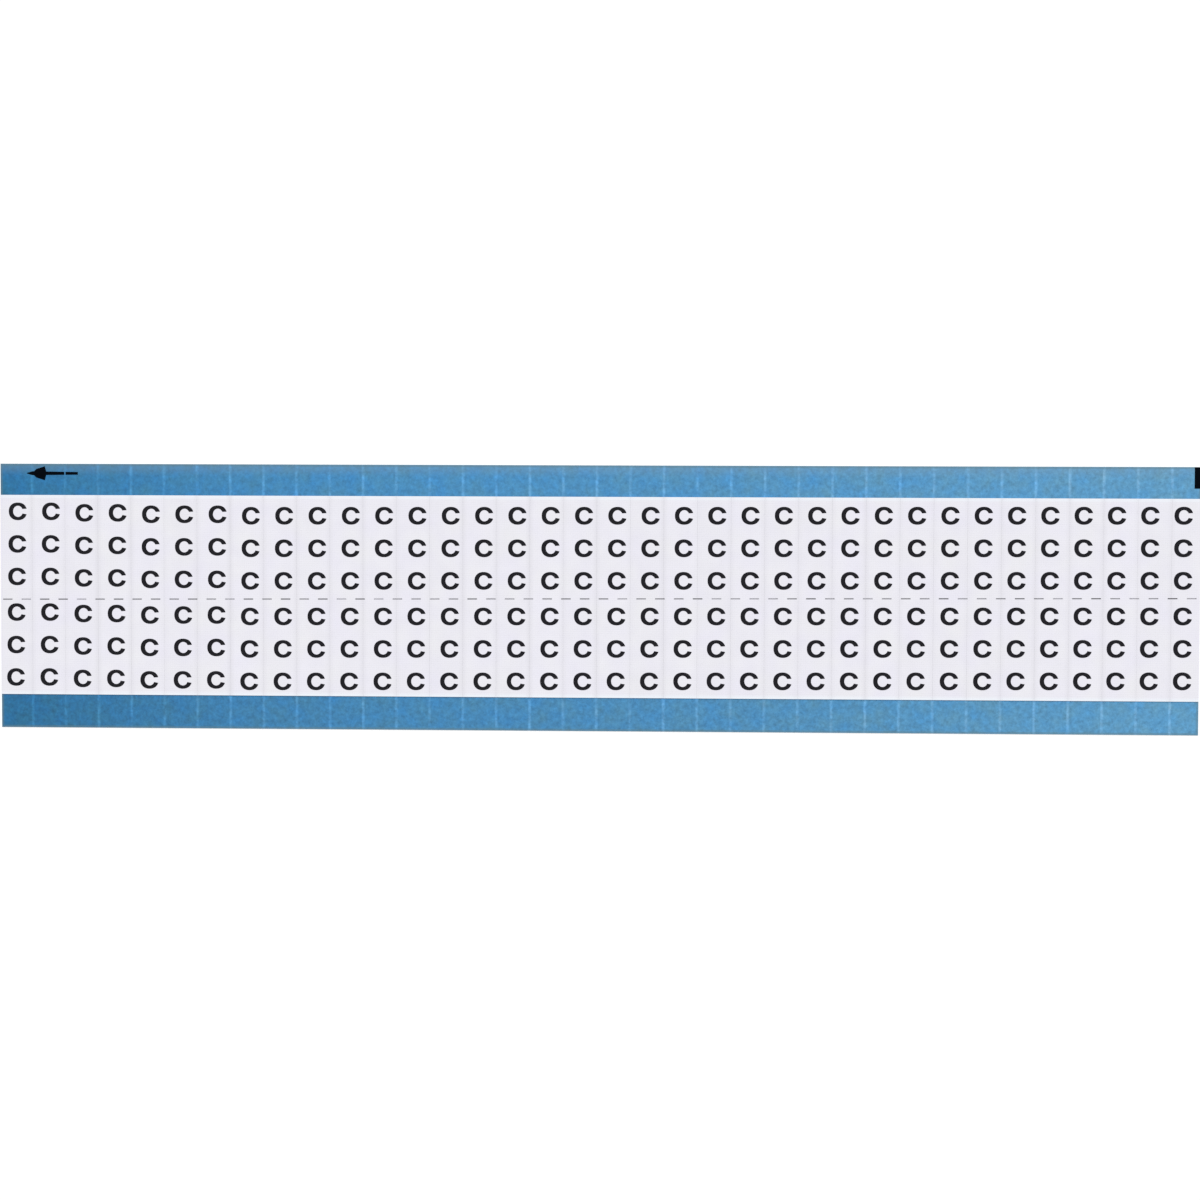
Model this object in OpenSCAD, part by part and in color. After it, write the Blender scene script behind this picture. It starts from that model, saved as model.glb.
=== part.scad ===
// Wire marker card
// A strip of coated cloth tape lies on a wider, coated paper liner. A straight die cuts the
// tape across into peel-off markers and leaves a score in the paper at each cut. A row of
// slits along the card perforates every marker, so that it can be torn into two short ones.
// X runs along the card, Y towards the edge with the feed arrow, Z up from the underside.

/* [Markers] */
// Number of markers on the card
marker_count = 36; // [6:1:50]
// Distance from one marker to the next along the card
marker_pitch = 6.35; // [4:0.05:13]
// Length of one marker, across the card
marker_length = 38.1; // [20:0.1:76]
// Thickness of the coated cloth with its adhesive
marker_thickness = 0.22; // [0.1:0.01:0.5]
// Width of the die cut between neighbouring markers
cut_gap = 0.01; // [0.005:0.005:0.4]

/* [Ends] */
// Width that is trimmed off the first marker, with the liner under it
left_trim = 0.3; // [0:0.05:3]
// Width that is trimmed off the last marker, with the liner under it
right_trim = 1; // [0:0.05:3]

/* [Liner] */
// Thickness of the coated paper
liner_thickness = 0.12; // [0.08:0.01:0.4]
// Bare margin along the edge with the feed arrow
upper_margin = 5.95; // [2:0.01:20]
// Bare margin along the other long edge
lower_margin = 6.35; // [2:0.01:20]
// Width of the score that the die leaves in the paper at each cut
score_width = 0.3; // [0.1:0.01:0.5]
// Depth of the scores and of the nicks under the perforation
score_depth = 0.03; // [0.01:0.01:0.06]

/* [Perforation] */
// Distance from one slit to the next along the row
slit_pitch = 3.563; // [2.6:0.001:6]
// Length of one slit
slit_length = 1.79; // [0.8:0.01:2.2]
// Width of one slit
slit_width = 0.18; // [0.05:0.01:0.4]
// Distance from the card's left end to the middle of the first slit
slit_start = 1.3; // [0.2:0.05:3]
// Distance of the row below the middle of the markers, at the middle of the card
row_drop = 0.27; // [-4:0.01:4]
// Angle between the row and the long edges, in degrees
row_angle = 0.31; // [-0.5:0.01:0.5]

/* [Hidden] */
card_length = marker_count * marker_pitch - left_trim - right_trim;
card_width = lower_margin + marker_length + upper_margin;
left_end = -card_length / 2;
right_end = card_length / 2;
lower_edge = -card_width / 2;
tape_edge = lower_edge + lower_margin;
tape_middle = tape_edge + marker_length / 2;
slit_count = 1 + floor((card_length - slit_start) / slit_pitch);
// Reach of a cutting shape past the faces that it opens
overrun = 1;
liner_blue = [0.34, 0.58, 0.75];
tape_white = [0.93, 0.92, 0.95];

// Markers count from the left end, starting at 1
function marker_name(i) = str("marker_", i < 10 ? "0" : "", i);

// Place along the card of the cut that follows marker i
function cut_x(i) = left_end - left_trim + i * marker_pitch;

// Ends of marker i along the card: the outer two are trimmed flush with the liner
function marker_left(i) = i == 1 ? left_end : cut_x(i - 1) + cut_gap / 2;
function marker_right(i) = i == marker_count ? right_end : cut_x(i) - cut_gap / 2;

// Place of slit k, which counts from 0
function slit_x(k) = left_end + slit_start + k * slit_pitch;
function slit_y(k) = tape_middle - row_drop + slit_x(k) * tan(row_angle);

// Slits that reach into the stretch of card from x = left to x = right
function slits_between(left, right) = [
    for (k = [0 : slit_count - 1])
        if (slit_x(k) + slit_length / 2 > left && slit_x(k) - slit_length / 2 < right) k
];

// One perforating blade, from the nick in the paper to above the tape
module slit(k) {
    blade_foot = liner_thickness - score_depth;
    blade_height = score_depth + marker_thickness + overrun;
    translate([slit_x(k), slit_y(k), blade_foot + blade_height / 2])
        rotate([0, 0, row_angle])
            cube([slit_length, slit_width, blade_height], center = true);
}

// V-shaped groove that the die leaves across the whole liner
module score(x) {
    translate([x, card_width / 2 + overrun, liner_thickness])
        rotate([90, 0, 0])
            linear_extrude(card_width + 2 * overrun)
                polygon([
                    [0, -score_depth],
                    [score_width / 2, 0],
                    [score_width / 2, overrun],
                    [-score_width / 2, overrun],
                    [-score_width / 2, 0],
                ]);
}

module liner() {
    color(liner_blue)
        difference() {
            translate([left_end, lower_edge, 0])
                cube([card_length, card_width, liner_thickness]);
            for (i = [1 : marker_count - 1]) score(cut_x(i));
            for (k = [0 : slit_count - 1]) slit(k);
        }
}

module marker(i) {
    left = marker_left(i);
    right = marker_right(i);
    color(tape_white)
        difference() {
            translate([left, tape_edge, liner_thickness])
                cube([right - left, marker_length, marker_thickness]);
            for (k = slits_between(left, right)) slit(k);
        }
}

liner();
for (i = [1 : marker_count])
    marker(i);
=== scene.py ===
"""Looks of a wire marker card.

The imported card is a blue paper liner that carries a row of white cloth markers. This script keeps
those solids and gives each its finish. It then adds the printing: the legend on every marker, and
the feed arrow and the edge mark on the bare margin of the liner. Lengths are in metres.
"""

import logging
import math
from collections.abc import Iterator
from dataclasses import dataclass
from enum import Enum
from typing import Any, Self

import bmesh
import bpy
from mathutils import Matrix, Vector


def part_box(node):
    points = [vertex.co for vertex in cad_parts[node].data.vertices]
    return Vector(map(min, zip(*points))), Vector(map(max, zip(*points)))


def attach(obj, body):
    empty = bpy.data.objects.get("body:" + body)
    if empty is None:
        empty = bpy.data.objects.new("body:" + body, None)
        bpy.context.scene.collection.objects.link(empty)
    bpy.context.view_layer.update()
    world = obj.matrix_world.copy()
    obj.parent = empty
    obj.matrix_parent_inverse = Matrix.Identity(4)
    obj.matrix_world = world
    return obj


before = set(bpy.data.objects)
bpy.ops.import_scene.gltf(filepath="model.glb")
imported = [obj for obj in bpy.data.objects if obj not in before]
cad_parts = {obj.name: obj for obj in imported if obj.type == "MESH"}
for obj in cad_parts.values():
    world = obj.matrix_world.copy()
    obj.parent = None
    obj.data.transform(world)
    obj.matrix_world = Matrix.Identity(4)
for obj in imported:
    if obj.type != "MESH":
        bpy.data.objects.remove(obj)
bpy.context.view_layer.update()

MM = 0.001
BODY = "root"

Colour = tuple[float, float, float]
Point = tuple[float, float]
Socket = int | str
Settings = dict[str, Any]
Inputs = dict[Socket, Any]

WHITE: Colour = (1.0, 1.0, 1.0)

# Sockets of the Mix node that take and give colours
MIX_SHARE = 0
MIX_FIRST = 6
MIX_SECOND = 7
MIX_RESULT = 2

# Rays that show a surface to the eye, by Light Path's names for them
SEEING_RAYS = ("Camera", "Glossy", "Transmission")

# Upward part of the normal, up to which a face counts as upright and from which it counts as level
UPRIGHT = 0.3
LEVEL = 0.7

log = logging.getLogger("marker_card")


class Face(Enum):
    """Faces of the card that take print."""

    LINER = "liner"
    TAPE = "tape"


class Blend(Enum):
    """Ways in which a colour meets the one under it, with the Mix node's names for them."""

    COVER = "MIX"
    TINT = "MULTIPLY"


@dataclass(frozen=True)
class Cloud:
    """Grain of a cloudy pattern: the size of one cloud, and the number and strength of finer layers."""

    size: float
    layers: float = 3.0
    fine_strength: float = 0.55


class Wire:
    """A value that runs from one shader node to the next, with arithmetic that adds Math nodes."""

    def __init__(self, graph: "Graph", socket: bpy.types.NodeSocket) -> None:
        """Keeps the socket that the value leaves and the graph that it belongs to.

        Args:
            graph: Graph that new nodes are added to.
            socket: Output socket that holds the value.
        """
        self.graph = graph
        self.socket = socket

    def __add__(self, other: "Value") -> "Wire":
        """Adds another value."""
        return self.graph.math("ADD", self, other)

    def __radd__(self, other: "Value") -> "Wire":
        """Adds to a number on the left."""
        return self.graph.math("ADD", other, self)

    def __sub__(self, other: "Value") -> "Wire":
        """Takes another value away."""
        return self.graph.math("SUBTRACT", self, other)

    def __rsub__(self, other: "Value") -> "Wire":
        """Is taken away from a number on the left."""
        return self.graph.math("SUBTRACT", other, self)

    def __mul__(self, other: "Value") -> "Wire":
        """Multiplies by another value."""
        return self.graph.math("MULTIPLY", self, other)

    def __rmul__(self, other: "Value") -> "Wire":
        """Multiplies a number on the left."""
        return self.graph.math("MULTIPLY", other, self)

    def __truediv__(self, other: "Value") -> "Wire":
        """Divides by another value."""
        return self.graph.math("DIVIDE", self, other)

    def __rtruediv__(self, other: "Value") -> "Wire":
        """Divides a number on the left."""
        return self.graph.math("DIVIDE", other, self)

    def __abs__(self) -> "Wire":
        """Drops the sign."""
        return self.graph.math("ABSOLUTE", self)

    def floor(self) -> "Wire":
        """Rounds down to a whole number."""
        return self.graph.math("FLOOR", self)

    def sine(self) -> "Wire":
        """Takes the sine of an angle in radians."""
        return self.graph.math("SINE", self)

    def least(self, other: "Value") -> "Wire":
        """Takes the smaller of two values."""
        return self.graph.math("MINIMUM", self, other)

    def most(self, other: "Value") -> "Wire":
        """Takes the larger of two values."""
        return self.graph.math("MAXIMUM", self, other)

    def within(self, low: float, high: float) -> "Wire":
        """Holds the value between two limits."""
        return self.most(low).least(high)

    def to_nearest(self, step: float) -> "Wire":
        """Measures how far the value is from the nearest multiple of a step.

        Args:
            step: Distance between the multiples.

        Returns:
            The distance, never negative and at most half a step.
        """
        turns = self / step
        return abs(turns - (turns + 0.5).floor()) * step

    def fade(self, near: float, far: float) -> "Wire":
        """Falls smoothly from 1 to 0 as the value rises.

        Args:
            near: Value up to which the result is 1.
            far: Value from which the result is 0.

        Returns:
            The mask, from 1 to 0.
        """
        return self.graph.wire(
            "ShaderNodeMapRange",
            {"interpolation_type": "SMOOTHSTEP"},
            {"Value": self, "From Min": near, "From Max": far, "To Min": 1.0, "To Max": 0.0},
            "Result",
        )


Value = Wire | float


class Graph:
    """The node graph of one material or of the world."""

    def __init__(self, tree: bpy.types.NodeTree) -> None:
        """Starts an empty graph.

        Args:
            tree: Node tree to fill, which loses the nodes that it has.
        """
        self.tree = tree
        tree.nodes.clear()

    def node(self, kind: str, settings: Settings, inputs: Inputs) -> bpy.types.Node:
        """Adds one node, sets it up and feeds its sockets.

        Args:
            kind: Blender's name for the type of node.
            settings: Properties of the node. A ramp's stops are pairs of place and colour.
            inputs: Wire, number, colour or vector for each socket that is fed.

        Returns:
            The new node.
        """
        made = self.tree.nodes.new(kind)
        for name, value in settings.items():
            if name == "stops":
                self._set_stops(made.color_ramp, value)
            else:
                setattr(made, name, value)
        for key, value in inputs.items():
            self._feed(made.inputs[key], value)
        return made

    def wire(self, kind: str, settings: Settings, inputs: Inputs, output: Socket) -> Wire:
        """Adds one node and returns one of its outputs.

        Args:
            kind: Blender's name for the type of node.
            settings: Properties of the node.
            inputs: What feeds its sockets.
            output: Name or number of the output socket.

        Returns:
            The output as a wire.
        """
        return Wire(self, self.node(kind, settings, inputs).outputs[output])

    def math(self, operation: str, *values: Value) -> Wire:
        """Adds a Math node."""
        return self.wire("ShaderNodeMath", {"operation": operation}, dict(enumerate(values)), 0)

    def mix(
        self,
        share: Value,
        first: Wire | Colour,
        second: Wire | Colour,
        blend: Blend = Blend.COVER,
    ) -> Wire:
        """Mixes two colours.

        Args:
            share: How much of the second colour shows, from 0 to 1.
            first: Colour underneath.
            second: Colour on top.
            blend: How the second colour meets the first.

        Returns:
            The mixed colour.
        """
        settings = {"data_type": "RGBA", "blend_type": blend.value}
        inputs = {MIX_SHARE: share, MIX_FIRST: first, MIX_SECOND: second}
        return self.wire("ShaderNodeMix", settings, inputs, MIX_RESULT)

    def tone(self, colour: Wire | Colour, level: Wire) -> Wire:
        """Makes a colour lighter or darker.

        Args:
            colour: Colour to change.
            level: Factor for all three channels, where 1 leaves the colour as it is.

        Returns:
            The changed colour.
        """
        grey = self.wire("ShaderNodeCombineXYZ", {}, {0: level, 1: level, 2: level}, 0)
        return self.wire("ShaderNodeVectorMath", {"operation": "MULTIPLY"}, {0: colour, 1: grey}, 0)

    def clouds(self, place: Wire, cloud: Cloud) -> Wire:
        """Adds a cloudy pattern around 0, from about -0.5 to 0.5.

        Args:
            place: Position on the piece, as a vector.
            cloud: Grain of the pattern.

        Returns:
            The pattern.
        """
        inputs = {
            "Vector": place,
            "Scale": 1 / cloud.size,
            "Detail": cloud.layers,
            "Roughness": cloud.fine_strength,
        }
        return self.wire("ShaderNodeTexNoise", {"noise_dimensions": "3D"}, inputs, 0) - 0.5

    def by_number(self, number: Wire) -> Wire:
        """Gives every whole number its own value, from -0.5 to 0.5."""
        return self.wire("ShaderNodeTexWhiteNoise", {"noise_dimensions": "1D"}, {"W": number}, 0) - 0.5

    def place(self) -> Wire:
        """Gives the position on the piece, as a vector in metres."""
        return self.wire("ShaderNodeTexCoord", {}, {}, "Object")

    def upward(self) -> Wire:
        """Gives how far a face looks up, from -1 on the underside to 1 on top."""
        normal = self.wire("ShaderNodeTexCoord", {}, {}, "Normal")
        return self.axes(normal)[2]

    def side_faces(self) -> Wire:
        """Marks upright faces, such as a cut edge or the wall of a slit."""
        return abs(self.upward()).fade(UPRIGHT, LEVEL)

    def underside(self) -> Wire:
        """Marks faces that look down."""
        return self.upward().fade(-LEVEL, -UPRIGHT)

    def seen_directly(self) -> Wire:
        """Marks rays that show a surface to the eye, straight or by way of gloss or glass.

        Returns:
            The mask, 1 on those rays and 0 on the ones that carry light.
        """
        rays = self.node("ShaderNodeLightPath", {}, {}).outputs
        straight, by_gloss, by_glass = (Wire(self, rays[f"Is {kind} Ray"]) for kind in SEEING_RAYS)
        return straight.most(by_gloss).most(by_glass)

    def axes(self, vector: Wire) -> tuple[Wire, Wire, Wire]:
        """Splits a vector into its three parts."""
        parts = self.node("ShaderNodeSeparateXYZ", {}, {0: vector}).outputs
        return Wire(self, parts[0]), Wire(self, parts[1]), Wire(self, parts[2])

    def bump(self, height: Wire, depth: float) -> Wire:
        """Turns a height from 0 to 1 into a normal.

        Args:
            height: Pattern of heights.
            depth: Real height of one unit of the pattern.

        Returns:
            The normal.
        """
        return self.wire("ShaderNodeBump", {}, {"Height": height, "Distance": depth}, 0)

    def surface(self, inputs: Inputs) -> None:
        """Ends the graph with one all-round surface shader.

        Args:
            inputs: What feeds the shader's sockets.
        """
        shader = self.wire("ShaderNodeBsdfPrincipled", {}, inputs, 0)
        self.node("ShaderNodeOutputMaterial", {}, {"Surface": shader})

    @staticmethod
    def _set_stops(ramp: bpy.types.ColorRamp, stops: tuple[tuple[float, Colour], ...]) -> None:
        """Replaces a ramp's stops.

        Args:
            ramp: Ramp of a new node, which has two stops.
            stops: Place and colour of each stop.
        """
        while len(ramp.elements) < len(stops):
            ramp.elements.new(1.0)
        for element, (place, colour) in zip(ramp.elements, stops):
            element.position = place
            element.color = (*colour, 1.0)

    def _feed(self, socket: bpy.types.NodeSocket, value: Any) -> None:
        """Links a wire to a socket, or sets the socket's own value.

        Args:
            socket: Input socket of a node.
            value: Wire, number, colour or vector.
        """
        if isinstance(value, Wire):
            self.tree.links.new(value.socket, socket)
        elif isinstance(value, tuple) and socket.type == "RGBA":
            socket.default_value = (*value, 1.0)
        else:
            socket.default_value = value


def new_material(name: str) -> tuple[bpy.types.Material, Graph]:
    """Makes an empty material.

    Args:
        name: Name of the finish.

    Returns:
        The material and its graph.
    """
    material = bpy.data.materials.new(name)
    material.use_nodes = True
    return material, Graph(material.node_tree)


@dataclass(frozen=True)
class CardPlan:
    """Edges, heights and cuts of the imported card, which finishes and printing are laid out by."""

    left: float
    right: float
    lower: float
    upper: float
    liner_top: float
    tape_lower: float
    tape_upper: float
    tape_top: float
    first_cut: float
    pitch: float
    markers: tuple[str, ...]

    @classmethod
    def of_frame(cls) -> Self:
        """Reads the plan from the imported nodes.

        Returns:
            The plan.
        """
        names = tuple(sorted(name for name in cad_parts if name.startswith("marker_")))
        low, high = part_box("liner")
        boxes = [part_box(name) for name in names]
        tape_low, tape_high = boxes[0]
        cuts = [(one[1].x + following[0].x) / 2 for one, following in zip(boxes, boxes[1:])]
        return cls(
            left=low.x,
            right=high.x,
            lower=low.y,
            upper=high.y,
            liner_top=high.z,
            tape_lower=tape_low.y,
            tape_upper=tape_high.y,
            tape_top=tape_high.z,
            first_cut=cuts[0],
            pitch=(cuts[-1] - cuts[0]) / (len(cuts) - 1),
            markers=names,
        )

    @property
    def length(self) -> float:
        """Length of the card."""
        return self.right - self.left

    @property
    def width(self) -> float:
        """Width of the card."""
        return self.upper - self.lower

    @property
    def tape_middle(self) -> float:
        """Place across the card of the middle of the markers."""
        return (self.tape_lower + self.tape_upper) / 2

    def height(self, face: Face) -> float:
        """Height of a face that takes print."""
        return self.liner_top if face is Face.LINER else self.tape_top

    def cut(self, number: int) -> float:
        """Place along the card of the cut after that many markers."""
        return self.first_cut + (number - 1) * self.pitch

    def cell_middle(self, index: int) -> float:
        """Place along the card of the middle of a marker before trimming, counted from 0."""
        return self.cut(index) + self.pitch / 2

    def off_cut(self, along: Wire) -> Wire:
        """Measures how far a place along the card is from the nearest cut."""
        return (along - self.first_cut).to_nearest(self.pitch)

    def cut_number(self, along: Wire) -> Wire:
        """Counts the cuts along the card, up to the one that is nearest to a place."""
        return ((along - self.first_cut) / self.pitch + 0.5).floor()

    def marker_number(self, along: Wire) -> Wire:
        """Counts the markers along the card, up to the one that a place is on."""
        return ((along - self.first_cut) / self.pitch).floor()


@dataclass(frozen=True)
class Perforation:
    """Row of slits along the card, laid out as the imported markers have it."""

    first: float = 1.3 * MM
    pitch: float = 3.563 * MM
    slit_length: float = 1.79 * MM
    slit_width: float = 0.18 * MM
    drop: float = 0.27 * MM
    angle_deg: float = 0.31
    # Mean and spread, from slit to slit, of the painted shade in the slits.
    slit_shade_mean: float = 0.42
    slit_shade_spread: float = 1.0

    def off_row(self, plan: CardPlan, along: Wire, across: Wire) -> Wire:
        """Measures how far a place is from the row's middle line.

        Args:
            plan: Plan of the card.
            along: Place along the card.
            across: Place across the card.

        Returns:
            The distance, never negative.
        """
        row = along * math.tan(math.radians(self.angle_deg)) + (plan.tape_middle - self.drop)
        return abs(across - row)

    def slits(self, plan: CardPlan, along: Wire, across: Wire, rim: float) -> Wire:
        """Marks the slits.

        Args:
            plan: Plan of the card.
            along: Place along the card.
            across: Place across the card.
            rim: Distance over which the mask fades beside a slit.

        Returns:
            The mask, 1 in a slit and 0 beyond its rim.
        """
        half_width, half_length = self.slit_width / 2, self.slit_length / 2
        off_slit = (along - (plan.left + self.first)).to_nearest(self.pitch)
        in_row = self.off_row(plan, along, across).fade(half_width, half_width + rim)
        return in_row * off_slit.fade(half_length, half_length + rim)

    def slit_shade_share(self, graph: Graph, plan: CardPlan, along: Wire) -> Wire:
        """Tells how dark the painted shade in the slit nearest to a place is, from 0 where the slit is
        shown shut to 1.
        """
        number = ((along - (plan.left + self.first)) / self.pitch + 0.5).floor()
        return (self.slit_shade_mean + graph.by_number(number) * self.slit_shade_spread).within(0.0, 1.0)


@dataclass(frozen=True)
class Band:
    """Band of another colour, or of a tint, beside an edge or a cut, which fades with the distance."""

    colour: Colour
    share: float
    near: float
    far: float
    blend: Blend = Blend.COVER

    def over(self, graph: Graph, under: Wire, distance: Wire, strength: Value = 1.0) -> Wire:
        """Lays the band over a colour.

        Args:
            graph: Graph of the material.
            under: Colour that the band covers.
            distance: Distance from the edge or the cut.
            strength: Factor for the band's share.

        Returns:
            The colour with the band.
        """
        share = (distance.fade(self.near, self.far) * strength * self.share).within(0.0, 1.0)
        return graph.mix(share, under, self.colour, self.blend)


@dataclass(frozen=True)
class ClothFinish:
    """White coated cloth: a fine weave under a matt coat, with painted shade along the die cuts and in
    and around the slits.
    """

    cool_white: Colour = (0.838, 0.824, 0.915)
    warm_white: Colour = (0.838, 0.833, 0.872)
    # Painted shade: in the slits and on their rim, and in a soft halo round them.
    slit_shade_grey: Colour = (0.11, 0.11, 0.12)
    halo_shade_grey: Colour = (0.55, 0.54, 0.58)
    cut_grey: Colour = (0.70, 0.69, 0.73)
    # Painted shade along each die cut, where the markers meet.
    seam_shade: Band = Band((0.70, 0.69, 0.74), 0.27, 0.0, 0.95 * MM)
    bright_edge: Band = Band((0.88, 0.93, 0.99), 0.7, 0.15 * MM, 0.9 * MM)
    thread: float = 0.42 * MM
    weave_depth: float = 0.012 * MM
    weave_mean: float = 2 / math.pi
    weave_shade: float = 0.03
    piece_shade: float = 0.015
    cloud: Cloud = Cloud(3.2 * MM)
    cloud_shade: float = 0.09
    tint_cloud: Cloud = Cloud(6.4 * MM, layers=1.0)
    tint_spread: float = 2.0
    # Reach of the painted shade beside the slits, and the strength of its halo.
    slit_rim: float = 0.02 * MM
    halo_shade_reach: float = 0.2 * MM
    halo_shade_share: float = 0.15
    roughness: float = 0.62
    roughness_spread: float = 0.1
    gloss: float = 0.25
    fuzz: float = 0.08

    def material(self, plan: CardPlan, perforation: Perforation) -> bpy.types.Material:
        """Builds the material.

        Args:
            plan: Plan of the card.
            perforation: Row of slits that the cloth is cut by.

        Returns:
            The material.
        """
        material, graph = new_material("coated_cloth")
        place = graph.place()
        along, across, _ = graph.axes(place)
        weave = self.weave(along, across)
        clouds = graph.clouds(place, self.cloud)
        level = 1.0 + (weave - self.weave_mean) * self.weave_shade + clouds * self.cloud_shade
        level += graph.by_number(plan.marker_number(along)) * self.piece_shade
        tint = 0.5 + graph.clouds(place, self.tint_cloud) * self.tint_spread
        colour = graph.tone(graph.mix(tint.within(0.0, 1.0), self.cool_white, self.warm_white), level)
        to_edge = (across - plan.tape_lower).least(plan.tape_upper - across)
        colour = self.bright_edge.over(graph, colour, to_edge)
        # Painted shade along each die cut, stronger at some cuts than at others.
        strength = 1.0 + graph.by_number(plan.cut_number(along))
        colour = self.seam_shade.over(graph, colour, plan.off_cut(along), strength)
        # Painted shade in and round the slits, darker where a slit is shown open.
        halo_shade = perforation.slits(plan, along, across, self.halo_shade_reach) * self.halo_shade_share
        colour = graph.mix(halo_shade, colour, self.halo_shade_grey)
        colour = graph.mix(graph.side_faces(), colour, self.cut_grey)
        slits = perforation.slits(plan, along, across, self.slit_rim)
        colour = graph.mix(slits * perforation.slit_shade_share(graph, plan, along), colour, self.slit_shade_grey)
        graph.surface(
            {
                "Base Color": colour,
                "Roughness": self.roughness - clouds * self.roughness_spread,
                "Specular IOR Level": self.gloss,
                "Sheen Weight": self.fuzz,
                "Normal": graph.bump(weave, self.weave_depth),
            }
        )
        return material

    def weave(self, along: Wire, across: Wire) -> Wire:
        """Crosses round threads in a plain weave, where each passes over one and under the next.

        Args:
            along: Place along the card.
            across: Place across the card.

        Returns:
            The height of the cloth, from 0 between the threads to 1 on top of them.
        """
        turn = math.pi / self.thread
        warp, weft = (along * turn).sine(), (across * turn).sine()
        warp_on_top = warp * weft * 0.5 + 0.5
        return warp_on_top * abs(warp) + (1 - warp_on_top) * abs(weft)


@dataclass(frozen=True)
class LinerFinish:
    """Blue coated paper: mottled, paler where the die scored it, duller along its trimmed edges.

    The blue grows paler from the end that the arrow points to: a painted sheen. Its upper side is
    painted lighter than its lower one, most at that end.
    """

    # The blue with a painted sheen: darker at the left end, paler towards the right end.
    blues_and_sheen: tuple[tuple[float, Colour], ...] = (
        (0.0, (0.016, 0.150, 0.320)),
        (0.2, (0.043, 0.216, 0.432)),
        (0.35, (0.053, 0.239, 0.464)),
        (0.6, (0.069, 0.264, 0.488)),
        (1.0, (0.104, 0.322, 0.546)),
    )
    green_tint: Colour = (1.22, 1.0, 0.86)
    violet_tint: Colour = (0.78, 1.0, 1.14)
    score: Band = Band((2.2, 1.62, 1.52), 0.5, 0.04 * MM, 0.42 * MM, Blend.TINT)
    # A greyer, paler band along the upper edge.
    upper_grey_band: Band = Band((0.25, 0.33, 0.35), 0.22, 0.4 * MM, 2.6 * MM)
    cut_rim: Band = Band((0.11, 0.20, 0.23), 0.5, 0.28 * MM, 0.5 * MM)
    back_blue: Colour = (0.20, 0.40, 0.58)
    core: Colour = (0.55, 0.66, 0.74)
    # Painted shade at the floor of the slits, and the pale grey of a slit shown shut.
    slit_shade_grey: Colour = (0.07, 0.075, 0.085)
    shut_grey: Colour = (0.70, 0.69, 0.73)
    # Painted light: about how much lighter the upper edge is than the middle at the left end, fading to
    # none at the right end.
    upper_side_light: float = 0.078
    tint_cloud: Cloud = Cloud(3.5 * MM, layers=2.0)
    tint_spread: float = 1.6
    mottle: Cloud = Cloud(0.9 * MM, layers=6.0, fine_strength=0.8)
    mottle_shade: float = 1.55
    fibre_depth: float = 0.012 * MM
    score_spread: float = 0.5
    score_patch: Cloud = Cloud(1.6 * MM, layers=2.0)
    score_patch_spread: float = 3.2
    roughness: float = 0.42
    roughness_spread: float = 0.15
    back_roughness: float = 0.8
    gloss: float = 0.3

    def material(self, plan: CardPlan, perforation: Perforation) -> bpy.types.Material:
        """Builds the material.

        Args:
            plan: Plan of the card.
            perforation: Row of slits that nicks the paper under the markers.

        Returns:
            The material.
        """
        material, graph = new_material("coated_paper")
        place = graph.place()
        along, across, _ = graph.axes(place)
        mottle = graph.clouds(place, self.mottle)
        colour = self.face_colour(graph, plan, place, mottle)
        slit_width = perforation.slit_width
        # Painted shade at the floor of the slits: pale grey where a slit is shown shut, dark where it is
        # shown open.
        row = perforation.off_row(plan, along, across).fade(slit_width / 2, slit_width)
        slit_floor_shade = graph.mix(perforation.slit_shade_share(graph, plan, along), self.shut_grey, self.slit_shade_grey)
        colour = graph.mix(row, colour, slit_floor_shade)
        back = graph.underside()
        colour = graph.mix(back, colour, graph.tone(self.back_blue, 1.0 + mottle * self.mottle_shade))
        colour = graph.mix(graph.side_faces(), colour, self.core)
        roughness = back * (self.back_roughness - self.roughness) + self.roughness
        graph.surface(
            {
                "Base Color": colour,
                "Roughness": roughness + mottle * self.roughness_spread,
                "Specular IOR Level": self.gloss,
                "Normal": graph.bump(mottle + 0.5, self.fibre_depth),
            }
        )
        return material

    def face_colour(self, graph: Graph, plan: CardPlan, place: Wire, mottle: Wire) -> Wire:
        """Colours the coated face, with painted sheen along the card and painted light across it, its
        scores and its dull rim.

        Args:
            graph: Graph of the material.
            plan: Plan of the card.
            place: Position on the piece.
            mottle: Cloudy pattern of the coat.

        Returns:
            The colour.
        """
        along, across, _ = graph.axes(place)
        share = (along - plan.left) / plan.length
        blue = graph.wire("ShaderNodeValToRGB", {"stops": self.blues_and_sheen}, {0: share}, 0)
        tint = (0.5 + graph.clouds(place, self.tint_cloud) * self.tint_spread).within(0.0, 1.0)
        blue = graph.mix(1.0, blue, graph.mix(tint, self.green_tint, self.violet_tint), Blend.TINT)
        # Painted light across the card: the upper side lighter, the lower side darker.
        painted_light_slope = (1 - share * share) * (2 * self.upper_side_light / plan.width)
        blue = graph.tone(blue, 1.0 + across * painted_light_slope + mottle * self.mottle_shade)
        strength = 1.0 + graph.by_number(plan.cut_number(along)) * self.score_spread
        strength += graph.clouds(place, self.score_patch) * self.score_patch_spread
        blue = self.score.over(graph, blue, plan.off_cut(along), strength)
        blue = self.upper_grey_band.over(graph, blue, plan.upper - across)
        to_end = (along - plan.left).least(plan.right - along)
        to_side = (across - plan.lower).least(plan.upper - across)
        return self.cut_rim.over(graph, blue, to_end.least(to_side))


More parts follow.
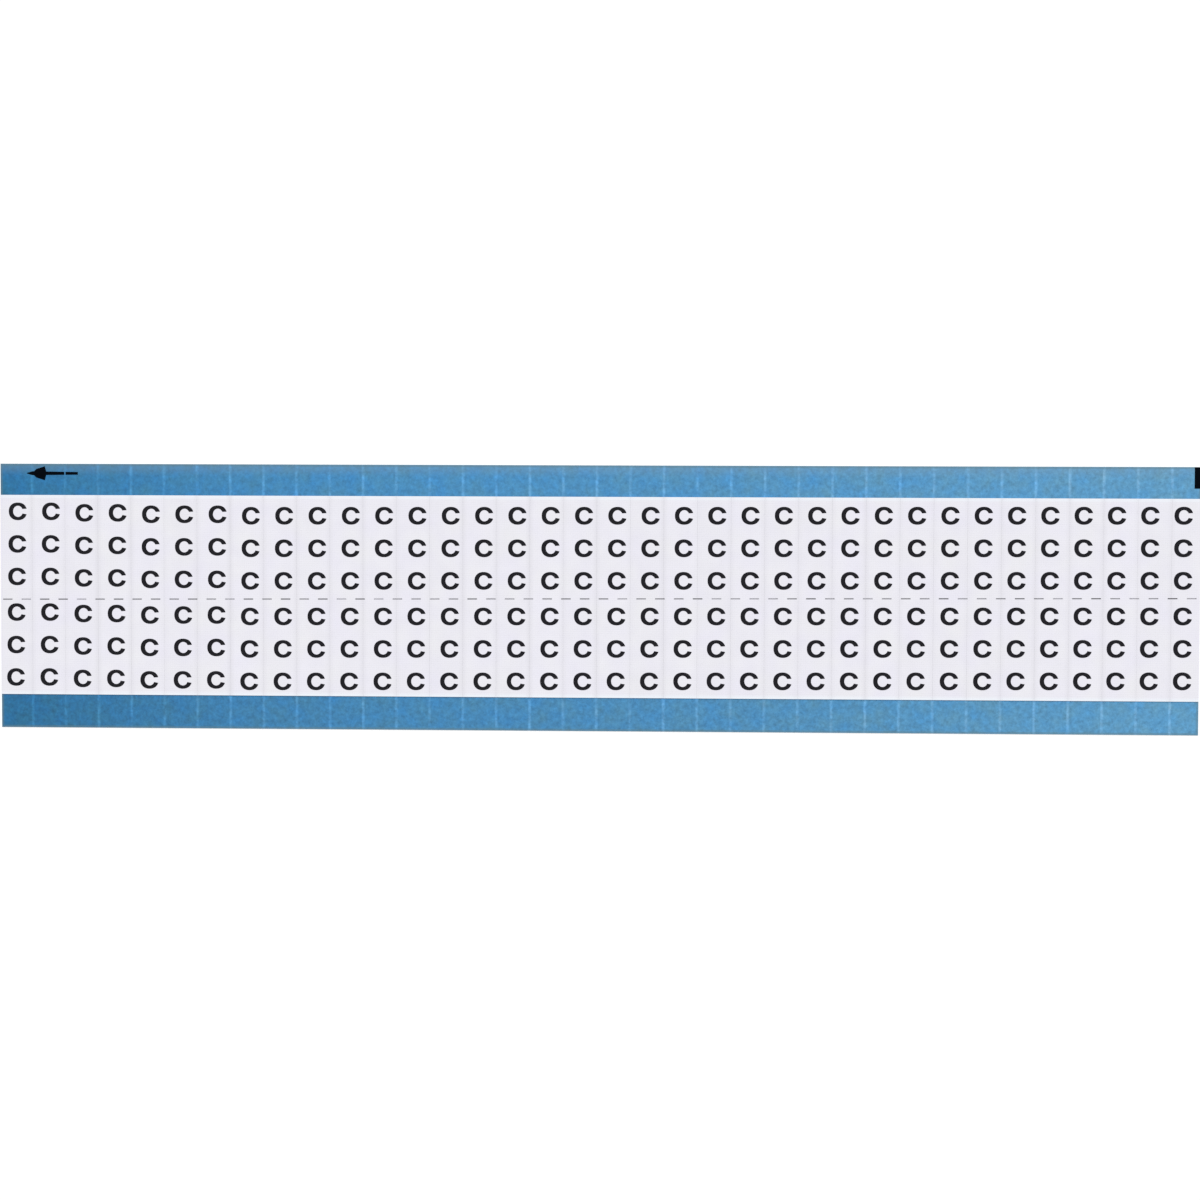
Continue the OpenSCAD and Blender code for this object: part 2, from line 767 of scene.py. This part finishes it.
@dataclass(frozen=True)
class InkFinish:
    """Black print: a thin satin film, a little uneven in density."""

    name: str
    black: Colour
    cloud: Cloud = Cloud(0.5 * MM, layers=4.0)
    density_shade: float = 0.8
    film_depth: float = 0.002 * MM
    roughness: float = 0.5
    roughness_spread: float = 0.3
    gloss: float = 0.1

    def material(self) -> bpy.types.Material:
        """Builds the material.

        Returns:
            The material.
        """
        material, graph = new_material(self.name)
        density = graph.clouds(graph.place(), self.cloud)
        graph.surface(
            {
                "Base Color": graph.tone(self.black, 1.0 + density * self.density_shade),
                "Roughness": self.roughness + density * self.roughness_spread,
                "Specular IOR Level": self.gloss,
                "Normal": graph.bump(density + 0.5, self.film_depth),
            }
        )
        return material


@dataclass(frozen=True)
class FloorFinish:
    """Plain pale floor that reads as white to the eye and still takes the card's shadow."""

    paint: Colour = (0.8, 0.8, 0.8)
    lift: float = 0.27

    def material(self) -> bpy.types.Material:
        """Builds the material.

        Returns:
            The material.
        """
        material, graph = new_material("pale_floor")
        paint = graph.wire("ShaderNodeBsdfDiffuse", {}, {"Color": self.paint}, 0)
        glow = graph.wire("ShaderNodeEmission", {}, {"Strength": self.lift}, 0)
        lifted = graph.wire("ShaderNodeAddShader", {}, {0: paint, 1: glow}, 0)
        seen = graph.seen_directly()
        shader = graph.wire("ShaderNodeMixShader", {}, {0: seen, 1: paint, 2: lifted}, 0)
        graph.node("ShaderNodeOutputMaterial", {}, {"Surface": shader})
        return material


@dataclass(frozen=True)
class Strip:
    """A printed shape between two edges with as many points each, one point across from the other."""

    outer: list[Point]
    inner: list[Point]

    def moved(self, along: float, across: float) -> "Strip":
        """Gives the same shape in another place.

        Args:
            along: Distance along the card.
            across: Distance across the card.

        Returns:
            The moved shape.
        """
        return Strip(
            [(x + along, y + across) for x, y in self.outer],
            [(x + along, y + across) for x, y in self.inner],
        )


@dataclass(frozen=True)
class InkFilm:
    """Thin layer of ink that lies on a printed face and is keyed a little into it."""

    plan: CardPlan
    ink: bpy.types.Material
    rise: float = 0.008 * MM
    key: float = 0.004 * MM

    def lay(self, name: str, face: Face, strips: list[Strip]) -> bpy.types.Object:
        """Makes one printed piece.

        Args:
            name: Name of the piece.
            face: Face that it is printed on.
            strips: Shapes that the piece is made of.

        Returns:
            The piece.
        """
        shape = bmesh.new()
        for strip in strips:
            self._add_strip(shape, strip, self.plan.height(face))
        bmesh.ops.recalc_face_normals(shape, faces=shape.faces)
        mesh = bpy.data.meshes.new(name)
        shape.to_mesh(mesh)
        shape.free()
        mesh.materials.append(self.ink)
        piece = bpy.data.objects.new(name, mesh)
        bpy.context.scene.collection.objects.link(piece)
        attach(piece, BODY)
        return piece

    def _add_strip(self, shape: bmesh.types.BMesh, strip: Strip, height: float) -> None:
        """Adds one closed layer: rings of four points, joined by quads and capped at both ends.

        Args:
            shape: Mesh that the layer is added to.
            strip: Outline of the layer.
            height: Height of the face that it lies on.
        """
        low, high = height - self.key, height + self.rise
        rings = []
        for a, b in zip(strip.outer, strip.inner):
            corners = ((*a, high), (*b, high), (*b, low), (*a, low))
            rings.append([shape.verts.new(corner) for corner in corners])
        for ring, following in zip(rings, rings[1:]):
            for side in range(4):
                after = (side + 1) % 4
                shape.faces.new((ring[side], ring[after], following[after], following[side]))
        shape.faces.new(rings[0])
        shape.faces.new(rings[-1])


@dataclass(frozen=True)
class Bowl:
    """Rounded outline of a letter with a mouth at its right side."""

    half_width: float
    half_height: float
    upper_lip: float
    lower_lip: float
    power: float = 2.0
    offset: float = 0.0

    def points(self, steps: int) -> list[Point]:
        """Lays points round the bowl, from the upper lip of the mouth to the lower one.

        Args:
            steps: Number of stretches between the points.

        Returns:
            The points.
        """
        start = self._turn(self.upper_lip)
        stop = 2 * math.pi - self._turn(self.lower_lip)
        turns = [start + (stop - start) * i / steps for i in range(steps + 1)]
        return [
            (
                self.offset + self.half_width * self._curve(math.cos(turn)),
                self.half_height * self._curve(math.sin(turn)),
            )
            for turn in turns
        ]

    def _turn(self, height: float) -> float:
        """Finds how far round the bowl its outline reaches a height."""
        return math.asin((height / self.half_height) ** (self.power / 2))

    def _curve(self, part: float) -> float:
        """Bends a part of the round into the outline: a power of 2 gives an ellipse, more is squarer."""
        return math.copysign(abs(part) ** (2 / self.power), part)


def dress_node(name: str, material: bpy.types.Material) -> bpy.types.Object:
    """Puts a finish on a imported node.

    Args:
        name: Name of the node.
        material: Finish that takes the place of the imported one.

    Returns:
        The node's own piece.
    """
    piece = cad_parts[name]
    piece.material_slots[0].material = material
    return piece


@dataclass
class Liner:
    """Paper that carries the markers."""

    plan: CardPlan
    perforation: Perforation
    finish: LinerFinish = LinerFinish()

    def dress(self) -> list[bpy.types.Object]:
        """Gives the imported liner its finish, and returns it as the only piece."""
        return [dress_node("liner", self.finish.material(self.plan, self.perforation))]


@dataclass
class MarkerRow:
    """Cloth markers, all cut from one strip of tape."""

    plan: CardPlan
    perforation: Perforation
    finish: ClothFinish = ClothFinish()

    def dress(self) -> list[bpy.types.Object]:
        """Gives every packed marker the finish of the tape, and returns the markers."""
        material = self.finish.material(self.plan, self.perforation)
        return [dress_node(name, material) for name in self.plan.markers]


@dataclass
class Legend:
    """Plain block letter that is printed down every marker, as often as its length holds.

    The print runs a little askew to the die cuts: its rows climb along the card, and it shifts from
    one side of the markers to the other. The print of the first markers sits higher. Each drift is
    for one metre along the card, counted from its middle.
    """

    plan: CardPlan
    film: InkFilm
    bowl: Bowl = Bowl(1.755 * MM, 1.689 * MM, 0.511 * MM, 0.552 * MM, power=2.212)
    counter: Bowl = Bowl(0.936 * MM, 1.062 * MM, 0.458 * MM, 0.403 * MM, offset=0.024 * MM)
    arc_steps: int = 44
    rows: tuple[float, ...] = (15.70 * MM, 9.54 * MM, 3.375 * MM, -3.375 * MM, -9.54 * MM, -15.70 * MM)
    row_drop: float = 0.223 * MM
    row_climb: float = 0.0050
    row_spread: float = -0.0837
    shift: float = 0.670 * MM
    shift_drift: float = -0.00523
    shift_bow: float = -0.0843
    lean: float = 0.00706
    lean_drift: float = -0.0837
    lifts: tuple[tuple[int, float], ...] = ((2, 0.84 * MM), (4, 0.557 * MM), (7, 0.281 * MM))

    def build(self) -> list[bpy.types.Object]:
        """Prints every marker.

        Returns:
            One piece for each marker.
        """
        letter = self.letter()
        pieces = []
        for index in range(len(self.plan.markers)):
            strips = [letter.moved(*place) for place in self.places(index)]
            pieces.append(self.film.lay(f"legend_{index + 1:02d}", Face.TAPE, strips))
        return pieces

    def letter(self) -> Strip:
        """Draws the letter around its middle: an open ring, thicker at the side than at the top."""
        return Strip(self.bowl.points(self.arc_steps), self.counter.points(self.arc_steps))

    def places(self, index: int) -> Iterator[Point]:
        """Finds the middles of the letters on one marker.

        Args:
            index: Number of the marker, counted from 0.

        Yields:
            Place along and across the card.
        """
        middle = self.plan.cell_middle(index)
        shift = self.shift + self.shift_drift * middle + self.shift_bow * middle**2
        lean = self.lean + self.lean_drift * middle
        base = self.plan.tape_middle - self.row_drop + self.row_climb * middle + self.lift(index)
        for row in self.rows:
            yield middle + shift + lean * row, base + row * (1 + self.row_spread * middle)

    def lift(self, index: int) -> float:
        """Gives how much higher the print of a marker sits than along the rest of the card."""
        return next((lift for count, lift in self.lifts if index < count), 0.0)


@dataclass
class MarginPrint:
    """Feed arrow and edge mark on the bare upper margin of the liner."""

    plan: CardPlan
    film: InkFilm
    tip: float = 5.06 * MM
    outline: tuple[Point, ...] = (
        (0.0, 0.12 * MM),
        (0.95 * MM, 0.68 * MM),
        (1.42 * MM, 0.8 * MM),
        (1.84 * MM, 1.65 * MM),
        (3.48 * MM, 2.68 * MM),
        (3.74 * MM, 0.68 * MM),
        (9.84 * MM, 0.52 * MM),
    )
    score_break: float = 0.24 * MM
    arrow_inset: float = 1.81 * MM
    mark_length: float = 1.22 * MM
    mark_width: float = 4.05 * MM
    clearance: float = 0.02 * MM

    def build(self) -> list[bpy.types.Object]:
        """Prints the arrow and the mark, and returns both pieces."""
        arrow = self.film.lay("feed_arrow", Face.LINER, self.arrow())
        return [arrow, self.film.lay("edge_mark", Face.LINER, [self.mark()])]

    def arrow(self) -> list[Strip]:
        """Draws the arrow, which points to the left end. Its shaft is broken where a score crosses it.

        Returns:
            The head with the first stretch of the shaft, and each further stretch.
        """
        (shaft, _), (length, _) = self.outline[-2:]
        cuts = [self.plan.cut(number) for number in range(1, len(self.plan.markers))]
        crossings = [cut - self.plan.left - self.tip for cut in cuts]
        breaks = [place for place in crossings if shaft < place < length]
        starts = [0.0, *(place + self.score_break / 2 for place in breaks)]
        stops = [*(place - self.score_break / 2 for place in breaks), length]
        return [self.stretch(start, stop) for start, stop in zip(starts, stops)]

    def stretch(self, start: float, stop: float) -> Strip:
        """Draws one stretch of the arrow.

        Args:
            start: Distance of the stretch's first end from the arrow's tip.
            stop: Distance of its other end.

        Returns:
            The shape, alike on both sides of the arrow's middle line.
        """
        corners = [place for place, _ in self.outline if start < place < stop]
        origin = self.plan.left + self.tip
        middle = self.plan.upper - self.arrow_inset
        points = [(origin + place, self.width_at(place) / 2) for place in (start, *corners, stop)]
        return Strip(
            [(along, middle + half) for along, half in points],
            [(along, middle - half) for along, half in points],
        )

    def width_at(self, place: float) -> float:
        """Finds the arrow's width at a distance from its tip.

        Args:
            place: Distance from the tip, at most the arrow's length.

        Returns:
            The width, which changes evenly between the points of the outline.
        """
        stretches = zip(self.outline, self.outline[1:])
        (near, first), (far, last) = next(pair for pair in stretches if place <= pair[1][0])
        return first + (last - first) * (place - near) / (far - near)

    def mark(self) -> Strip:
        """Draws the block in the corner at the right end.

        Returns:
            The shape.
        """
        upper = self.plan.upper - self.clearance
        lower = self.plan.upper - self.mark_width
        ends = (self.plan.right - self.mark_length, self.plan.right - self.clearance)
        return Strip([(x, upper) for x in ends], [(x, lower) for x in ends])


@dataclass(frozen=True)
class KeyLamp:
    """A broad lamp so far away that it lights the card and the floor evenly."""

    place: tuple[float, float, float] = (0.25, 1.1, 1.35)
    strength: float = 1.615
    spread_deg: float = 29.0

    def build(self) -> None:
        """Hangs the lamp."""
        lamp = bpy.data.lights.new("key_lamp", "SUN")
        lamp.energy = self.strength
        lamp.angle = math.radians(self.spread_deg)
        holder = bpy.data.objects.new("key_lamp", lamp)
        holder.location = self.place
        holder.rotation_euler = (-Vector(self.place)).to_track_quat("-Z", "Y").to_euler()
        bpy.context.scene.collection.objects.link(holder)


@dataclass
class Studio:
    """Floor, lamp, surrounding light and camera."""

    floor_size: float = 6.0
    floor_gap: float = 0.02 * MM
    ambient: float = 0.6
    key_lamp: KeyLamp = KeyLamp()
    lens: float = 85.0
    sensor: float = 36.0
    nearest: float = 10 * MM
    eye: tuple[float, float, float] = (25.489 * MM, 23.764 * MM, 535.85 * MM)
    tilt_deg: tuple[float, float, float] = (-2.5695, 2.6148, 0.2911)

    def build(self) -> None:
        """Sets up the whole studio."""
        self.build_floor()
        self.build_world()
        self.key_lamp.build()
        self.build_camera()
        bpy.context.scene.view_settings.view_transform = "Standard"

    def build_floor(self) -> None:
        """Lays the floor just under the card."""
        half = self.floor_size / 2
        mesh = bpy.data.meshes.new("floor")
        corners = ((-half, -half), (half, -half), (half, half), (-half, half))
        mesh.from_pydata([(*corner, -self.floor_gap) for corner in corners], [], [(0, 1, 2, 3)])
        mesh.materials.append(FloorFinish().material())
        floor = bpy.data.objects.new("floor", mesh)
        bpy.context.scene.collection.objects.link(floor)

    def build_world(self) -> None:
        """Surrounds the card with even light, behind a white backdrop."""
        world = bpy.data.worlds.new("studio")
        world.use_nodes = True
        graph = Graph(world.node_tree)
        light = graph.wire("ShaderNodeBackground", {}, {"Color": WHITE, "Strength": self.ambient}, 0)
        white = graph.wire("ShaderNodeBackground", {}, {"Color": WHITE, "Strength": 1.0}, 0)
        seen = graph.seen_directly()
        shown = graph.wire("ShaderNodeMixShader", {}, {0: seen, 1: light, 2: white}, 0)
        graph.node("ShaderNodeOutputWorld", {}, {"Surface": shown})
        bpy.context.scene.world = world

    def build_camera(self) -> None:
        """Places the camera above the card, a little to the right of its middle."""
        camera = bpy.data.objects.new("camera", bpy.data.cameras.new("camera"))
        camera.data.lens = self.lens
        camera.data.sensor_width = self.sensor
        camera.data.clip_start = self.nearest
        camera.location = self.eye
        camera.rotation_mode = "ZYX"
        camera.rotation_euler = [math.radians(angle) for angle in self.tilt_deg]
        bpy.context.scene.collection.objects.link(camera)
        bpy.context.scene.camera = camera


def main() -> None:
    """Dresses the card, prints it, reports each piece and sets up the studio."""
    logging.basicConfig(level=logging.INFO, format="%(name)s: %(message)s")
    plan = CardPlan.of_frame()
    perforation = Perforation()
    legend_ink = InkFinish("legend_ink", (0.009, 0.0085, 0.0115))
    margin_ink = InkFinish("margin_ink", (0.0008, 0.0018, 0.004), gloss=0.02)
    pieces = [
        *Liner(plan, perforation).dress(),
        *MarkerRow(plan, perforation).dress(),
        *Legend(plan, InkFilm(plan, legend_ink.material())).build(),
        *MarginPrint(plan, InkFilm(plan, margin_ink.material())).build(),
    ]
    for piece in pieces:
        log.info("%s: %s, %d faces", piece.name, piece.active_material.name, len(piece.data.polygons))
    Studio().build()


if __name__ == "__main__":
    main()
